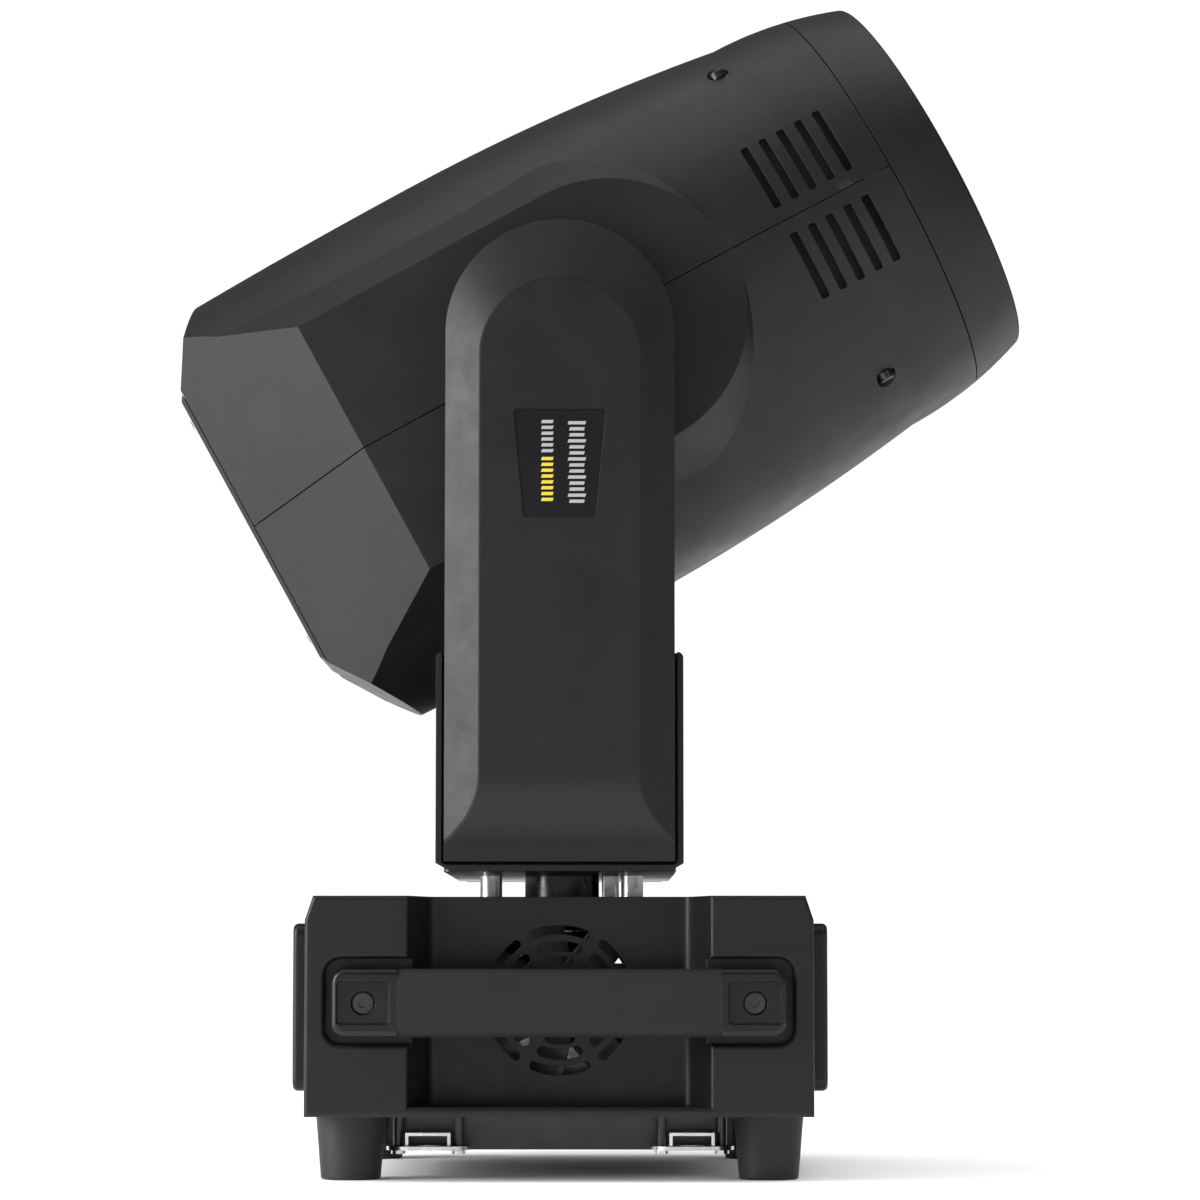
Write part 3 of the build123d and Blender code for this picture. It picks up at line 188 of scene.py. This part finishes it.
def coated(name, colour, rough, peel=260.0, depth=3e-5, coat=0.35):
    """Painted or lacquered metal with a light orange peel."""
    s = Shader(name)
    normal = s.bump(s.noise(peel, detail=2.0), depth, s.soft_edge(0.4e-3))
    cloud = s.noise(30.0, detail=4.0)
    body = s.between(s.span(cloud, 0.0, 1.0), tone(colour, 0.85), tone(colour, 1.15))
    gloss = s.span(s.noise(70.0, detail=4.0), rough - 0.06, rough + 0.08)
    return s.finish(Base_Color=body, Roughness=gloss, Normal=normal, Coat_Weight=coat, Coat_Roughness=0.25)


def rubber(name, colour, rough, grain=1500.0, depth=2.5e-5):
    """Soft rubber: fine grain, a dusty bloom and a little sheen."""
    s = Shader(name)
    normal = s.bump(s.noise(grain, detail=3.0), depth, s.soft_edge(0.5e-3))
    bloom = s.noise(45.0, detail=5.0, roughness=0.7)
    body = s.between(s.span(bloom, 0.0, 1.0), colour, tone(colour, 1.45))
    gloss = s.span(bloom, rough - 0.05, rough + 0.08)
    return s.finish(Base_Color=body, Roughness=gloss, Normal=normal, Sheen_Weight=0.08, Sheen_Roughness=0.4)


def board_laminate():
    """Solder-masked board with faint copper tracks under the lacquer."""
    s = Shader("board_laminate")
    tracks = s.add("ShaderNodeTexBrick", Vector=s.coords, Scale=160.0)
    tracks.inputs["Mortar Size"].default_value = 0.03
    lines = s.span(tracks.outputs["Fac"], 0.0, 1.0, 0.0, 1.0)
    body = s.between(lines, (0.004, 0.045, 0.018), (0.02, 0.11, 0.05))
    normal = s.bump(lines, 3e-5)
    gloss = s.span(s.noise(200.0), 0.25, 0.4)
    return s.finish(Base_Color=body, Roughness=gloss, Normal=normal, Coat_Weight=0.3)


def optical_glass():
    """Coated lens glass: clear, faintly cool, with a trace of dust in its roughness."""
    s = Shader("lens_glass")
    dust = s.noise(420.0, detail=5.0, roughness=0.7)
    gloss = s.span(dust, 0.0, 0.035, 0.45, 0.8)
    tint = s.between(s.span(s.noise(20.0), 0.0, 1.0), (0.93, 0.97, 0.98), (0.97, 0.99, 1.0))
    return s.finish(
        Base_Color=tint, Roughness=gloss, IOR=1.52, Transmission_Weight=1.0,
        Coat_Weight=0.2, Coat_Roughness=0.03,
    )


def screen_glass():
    """A switched-off display behind a glossy window."""
    s = Shader("screen_plastic")
    pixels = s.cells(2600.0)
    body = s.between(s.span(pixels, 0.0, 1.0, 0.1, 0.7), (0.006, 0.009, 0.016), (0.012, 0.017, 0.028))
    gloss = s.span(s.noise(60.0, detail=5.0), 0.04, 0.12)
    return s.finish(Base_Color=body, Roughness=gloss, Coat_Weight=1.0, Coat_Roughness=0.04)


def belt():
    """Rubber timing belt; its teeth are shown as a ribbed bump."""
    s = Shader("belt_rubber")
    wave = s.add("ShaderNodeTexWave", Vector=s.coords, Scale=70.0)
    wave.bands_direction = "DIAGONAL"
    normal = s.bump(wave.outputs["Fac"], 2e-4)
    body = s.between(s.span(s.noise(150.0), 0.0, 1.0), (0.008, 0.008, 0.008), (0.02, 0.02, 0.019))
    gloss = s.span(s.noise(300.0), 0.5, 0.7)
    return s.finish(Base_Color=body, Roughness=gloss, Normal=normal)


BLACK = (0.0075, 0.0075, 0.0079)
moulded("head_plastic", BLACK, 0.47, grain=1100.0, depth=3.2e-5)
moulded("arm_plastic", BLACK, 0.46, grain=950.0, depth=4.0e-5)
moulded("base_plastic", tone(BLACK, 0.85), 0.38, grain=1200.0, depth=2.0e-5, spread=0.05, edge=0.8e-3)
moulded("handle_plastic", tone(BLACK, 0.8), 0.3, grain=1300.0, depth=1.0e-5, spread=0.05)
moulded("grip_plastic", tone(BLACK, 1.2), 0.7, grain=1000.0, depth=4.0e-5, edge_highlight=1.3)
moulded("fan_plastic", (0.075, 0.077, 0.08), 0.36, grain=900.0, depth=1.5e-5)
moulded("button_plastic", (0.04, 0.041, 0.044), 0.42, grain=1500.0, depth=2e-5)
moulded("socket_plastic", (0.012, 0.012, 0.013), 0.4, grain=1500.0, depth=1.5e-5)
moulded("badge_print", (0.008, 0.008, 0.009), 0.22, grain=2000.0, depth=3e-6, spread=0.04, edge_highlight=1.2)
rubber("foot_rubber", (0.006, 0.006, 0.0062), 0.6)
coated("black_steel", (0.012, 0.012, 0.0125), 0.4)
coated("motor_paint", (0.018, 0.018, 0.02), 0.38)
metal("plain_steel", (0.62, 0.61, 0.59), 0.24, brushed=(0.2, 1.0, 1.0), scale=900.0)
metal("dark_steel", (0.07, 0.068, 0.066), 0.3, scale=800.0)
metal("bare_aluminium", (0.72, 0.73, 0.74), 0.3, brushed=(1.0, 1.0, 0.1))
metal("supply_steel", (0.5, 0.5, 0.49), 0.36, brushed=(1.0, 0.15, 1.0))
board_laminate()
optical_glass()
screen_glass()
belt()


def ink(name, colour):
    """Printing ink: slightly uneven, satin."""
    s = Shader(name)
    body = s.between(s.span(s.noise(900.0, detail=4.0), 0.0, 1.0), tone(colour, 0.88), colour)
    gloss = s.span(s.noise(400.0), 0.38, 0.52)
    return s.finish(Base_Color=body, Roughness=gloss)


SILVER_INK = ink("silver_ink", (0.30, 0.31, 0.31))
AMBER_INK = ink("amber_ink", (0.56, 0.44, 0.03))


# Mesh building -----------------------------------------------------------------------------

def new_piece(name, build, material, body):
    """A mesh object made by build(bmesh), riding on a body."""
    mesh = bpy.data.meshes.new(name)
    work = bmesh.new()
    build(work)
    bmesh.ops.recalc_face_normals(work, faces=work.faces)
    work.to_mesh(mesh)
    work.free()
    piece = bpy.data.objects.new(name, mesh)
    SCENE.collection.objects.link(piece)
    mesh.materials.append(material)
    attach(piece, body)
    return piece


def prism(work, outline, place, thick):
    """A closed outline in the place's XY plane, thickened along its Z."""
    rings = []
    for height, shrink in ((0.0, 0.0), (thick * 0.7, 0.0), (thick, thick * 0.3)):
        ring = []
        middle = sum((Vector(p) for p in outline), Vector((0, 0))) / len(outline)
        for p in outline:
            inward = (middle - Vector(p)).normalized() * shrink
            ring.append(work.verts.new(place @ Vector((p[0] + inward.x, p[1] + inward.y, height))))
        rings.append(ring)
    for low, high in zip(rings, rings[1:]):
        for i in range(len(low)):
            j = (i + 1) % len(low)
            work.faces.new((low[i], low[j], high[j], high[i]))
    work.faces.new(rings[-1])
    work.faces.new(list(reversed(rings[0])))


def lathe(work, profile, place, segments=24):
    """A turned form; a negative radius in the profile is a hexagon of that size."""
    rings = []
    for radius, height in profile:
        ring = []
        for i in range(segments):
            angle = 2 * math.pi * i / segments
            size = radius
            if radius < 0:
                size = -radius / math.cos((angle + math.pi / 6) % (math.pi / 3) - math.pi / 6)
            point = Vector((size * math.cos(angle), size * math.sin(angle), height))
            ring.append(work.verts.new(place @ point))
        rings.append(ring)
    for low, high in zip(rings, rings[1:]):
        for i in range(segments):
            j = (i + 1) % segments
            work.faces.new((low[i], low[j], high[j], high[i]))
    work.faces.new(rings[-1])
    work.faces.new(list(reversed(rings[0])))


def facing(origin, right, out):
    """A placing matrix: X along right, Z along out."""
    z = Vector(out).normalized()
    x = Vector(right).normalized()
    y = z.cross(x)
    return Matrix.Translation(Vector(origin)) @ Matrix((x, y, z)).transposed().to_4x4()


def screw_profile(radius, tall):
    """A socket button head with a hexagonal recess."""
    return (
        (radius, 0.0), (radius, tall * 0.35), (radius * 0.9, tall * 0.75), (radius * 0.68, tall),
        (radius * 0.56, tall), (-radius * 0.42, tall * 0.94), (-radius * 0.42, tall * 0.3),
    )


# Badge: generic rows of slanted bars ---------------------------------------------------------

BAR_THICK = 0.06 * MM
BAR_SLANT = 0.5
BAR_ROWS = (
    ("silver", SILVER_INK, 8.6, [(20.0 - 3.0 * i, 7.8 if i % 3 else 9.2) for i in range(14)]),
    ("grey", SILVER_INK, -6.0, [(20.6 - 2.9 * i, 6.2) for i in range(6)]),
    ("amber", AMBER_INK, -6.0, [(2.2 - 2.9 * i, 6.2) for i in range(8)]),
)


def badge_bars(material, across, bars, name):
    """One column of printed bars on each arm's badge."""
    low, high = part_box("arm_badges")

    def build(work):
        for side in (-1, 1):
            centre = (0, side * (high.y + 0.01 * MM), (low.z + high.z) / 2)
            place = facing(centre, (-side, 0, 0), (0, side, 0))
            for up, wide in bars:
                half = wide / 2
                outline = ((-half, -0.8), (half - BAR_SLANT, -0.8), (half, 0.8), (BAR_SLANT - half, 0.8))
                prism(work, [((x + across) * MM, (y + up) * MM) for x, y in outline], place, BAR_THICK)
    new_piece(name, build, material, "yoke")


for label, material, across, bars in BAR_ROWS:
    badge_bars(material, across, bars, f"badge_bars_{label}")


# Small fastenings and marks --------------------------------------------------------------------

SCREW_R = 2.6 * MM
SCREW_TALL = 0.3 * MM
SUNK = 0.1 * MM
LID_FACE = -185 * MM
SHELL_SCREW_SPOTS = ((142.0, 70.0, 88.0), (-108.0, 30.0, 114.9))
TILT = Vector((0.0, 0.0, 0.406))
LEAN = math.radians(61.3)
HEAD = Matrix.Translation(TILT) @ Matrix.Rotation(LEAN, 4, "Y")
BLACK_STEEL = bpy.data.materials["black_steel"]
DARK_STEEL = bpy.data.materials["dark_steel"]


def panel_screws(work):
    """Flat screws at the corners of the display and connector panels."""
    inset = 7 * MM
    for node, out in (("display_panel", 1), ("connector_panel", -1)):
        low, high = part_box(node)
        face = high.x if out > 0 else low.x
        for y in (low.y + inset, high.y - inset):
            for z in (low.z + inset, high.z - inset):
                place = facing((face - out * SUNK, y, z), (0, 1, 0), (out, 0, 0))
                lathe(work, screw_profile(SCREW_R, SCREW_TALL), place)


def lid_screws(work):
    """Screws near the corners of the rear lid."""
    for u in (-64, 64):
        for v in (-42, 42):
            centre = (u * MM, v * MM, LID_FACE + SUNK)
            lathe(work, screw_profile(SCREW_R, SCREW_TALL), HEAD @ facing(centre, (1, 0, 0), (0, 0, -1)))


def shell_screw_sockets(work):
    """Socket heads down in the shells' screw holes."""
    for along, aside, outward in SHELL_SCREW_SPOTS:
        for side in (-1, 1):
            for across in (-aside, aside):
                centre = (side * (outward + 3.0) * MM, across * MM, along * MM)
                place = HEAD @ facing(centre, (0, 1, 0), (side, 0, 0))
                lathe(work, screw_profile(4.3 * MM, 1.4 * MM), place)


def arrow(sign):
    return ((-2.6 * sign, -1.7 * sign), (2.6 * sign, -1.7 * sign), (0, 2.4 * sign))


def bar(height):
    return ((-2.6, height - 0.4), (2.6, height - 0.4), (2.6, height + 0.4), (-2.6, height + 0.4))


def dot(radius, corners):
    turns = (2 * math.pi * i / corners for i in range(corners))
    return tuple((radius * math.cos(t), radius * math.sin(t)) for t in turns)


def button_mark(name, outlines):
    """A plain printed sign on a menu button."""
    low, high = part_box(f"{name}_button")
    centre = (high.x + 0.01 * MM, (low.y + high.y) / 2, (low.z + high.z) / 2)
    place = facing(centre, (0, 1, 0), (1, 0, 0))

    def build(work):
        for outline in outlines:
            prism(work, [(x * MM, y * MM) for x, y in outline], place, 0.08 * MM)
    new_piece(f"{name}_mark", build, SILVER_INK, f"button_{name}")


new_piece("panel_screws", panel_screws, BLACK_STEEL, "base")
new_piece("lid_screws", lid_screws, BLACK_STEEL, "head")
new_piece("shell_screw_heads", shell_screw_sockets, DARK_STEEL, "head")
button_mark("up", [arrow(1)])
button_mark("down", [arrow(-1)])
button_mark("menu", [bar(-1.7), bar(0.0), bar(1.7)])
button_mark("enter", [dot(2.1, 16)])


# Floor, light and camera -----------------------------------------------------------------------

def floor():
    """A plain pale floor."""
    mesh = bpy.data.meshes.new("floor")
    work = bmesh.new()
    bmesh.ops.create_grid(work, x_segments=8, y_segments=8, size=9.0)
    work.to_mesh(mesh)
    work.free()
    piece = bpy.data.objects.new("floor", mesh)
    piece.location = (0, 0, FLOOR_Z)
    SCENE.collection.objects.link(piece)
    s = Shader("floor_paint")
    body = s.between(s.span(s.noise(3.0), 0.0, 1.0), (0.95, 0.95, 0.95), (0.965, 0.965, 0.965))
    mesh.materials.append(s.finish(Base_Color=body, Roughness=0.9, Specular_IOR_Level=0.0))


MIDDLE = Vector((0, 0, 0.28))
SEEN_WHITE = 1.07
REFLECTED_WHITE = 0.13
CAMERA_RISE = 5.09


def soft_light(name, at, wide, tall, watts):
    """A rectangular soft box aimed at the middle of the light."""
    data = bpy.data.lights.new(name, "AREA")
    data.shape = "RECTANGLE"
    data.size, data.size_y = wide, tall
    data.energy = watts
    lamp = bpy.data.objects.new(name, data)
    lamp.location = at
    lamp.rotation_euler = (MIDDLE - Vector(at)).to_track_quat("-Z", "Y").to_euler()
    lamp.visible_camera = False
    SCENE.collection.objects.link(lamp)


def surroundings():
    """An even white surround that is kept weak in reflections."""
    world = bpy.data.worlds.new("studio")
    SCENE.world = world
    world.use_nodes = True
    tree = world.node_tree
    tree.nodes.clear()
    seen = tree.nodes.new("ShaderNodeBackground")
    seen.inputs["Strength"].default_value = SEEN_WHITE
    lit = tree.nodes.new("ShaderNodeBackground")
    lit.inputs["Strength"].default_value = REFLECTED_WHITE
    path = tree.nodes.new("ShaderNodeLightPath")
    mix = tree.nodes.new("ShaderNodeMixShader")
    output = tree.nodes.new("ShaderNodeOutputWorld")
    tree.links.new(path.outputs["Is Glossy Ray"], mix.inputs[0])
    tree.links.new(seen.outputs[0], mix.inputs[1])
    tree.links.new(lit.outputs[0], mix.inputs[2])
    tree.links.new(mix.outputs[0], output.inputs["Surface"])
    for node in (seen, lit):
        node.inputs["Color"].default_value = (1, 1, 1, 1)


def camera():
    """A long lens, low down, looking slightly up along +Y."""
    data = bpy.data.cameras.new("camera")
    data.lens = 123.0
    data.sensor_width = 36.0
    data.clip_end = 50.0
    eye = bpy.data.objects.new("camera", data)
    eye.location = (0.020, -2.17, 0.092)
    eye.rotation_euler = (math.radians(90 + CAMERA_RISE), 0, 0)
    SCENE.collection.objects.link(eye)
    SCENE.camera = eye


floor()
soft_light("left_box", (-1.72, -0.72, 0.8), 0.8, 1.5, 56)
soft_light("right_box", (1.05, -1.55, 0.75), 0.3, 0.7, 1.6)
soft_light("top_box", (0.0, -0.1, 2.3), 2.4, 2.0, 22)
surroundings()
camera()
SCENE.view_settings.view_transform = "Standard"
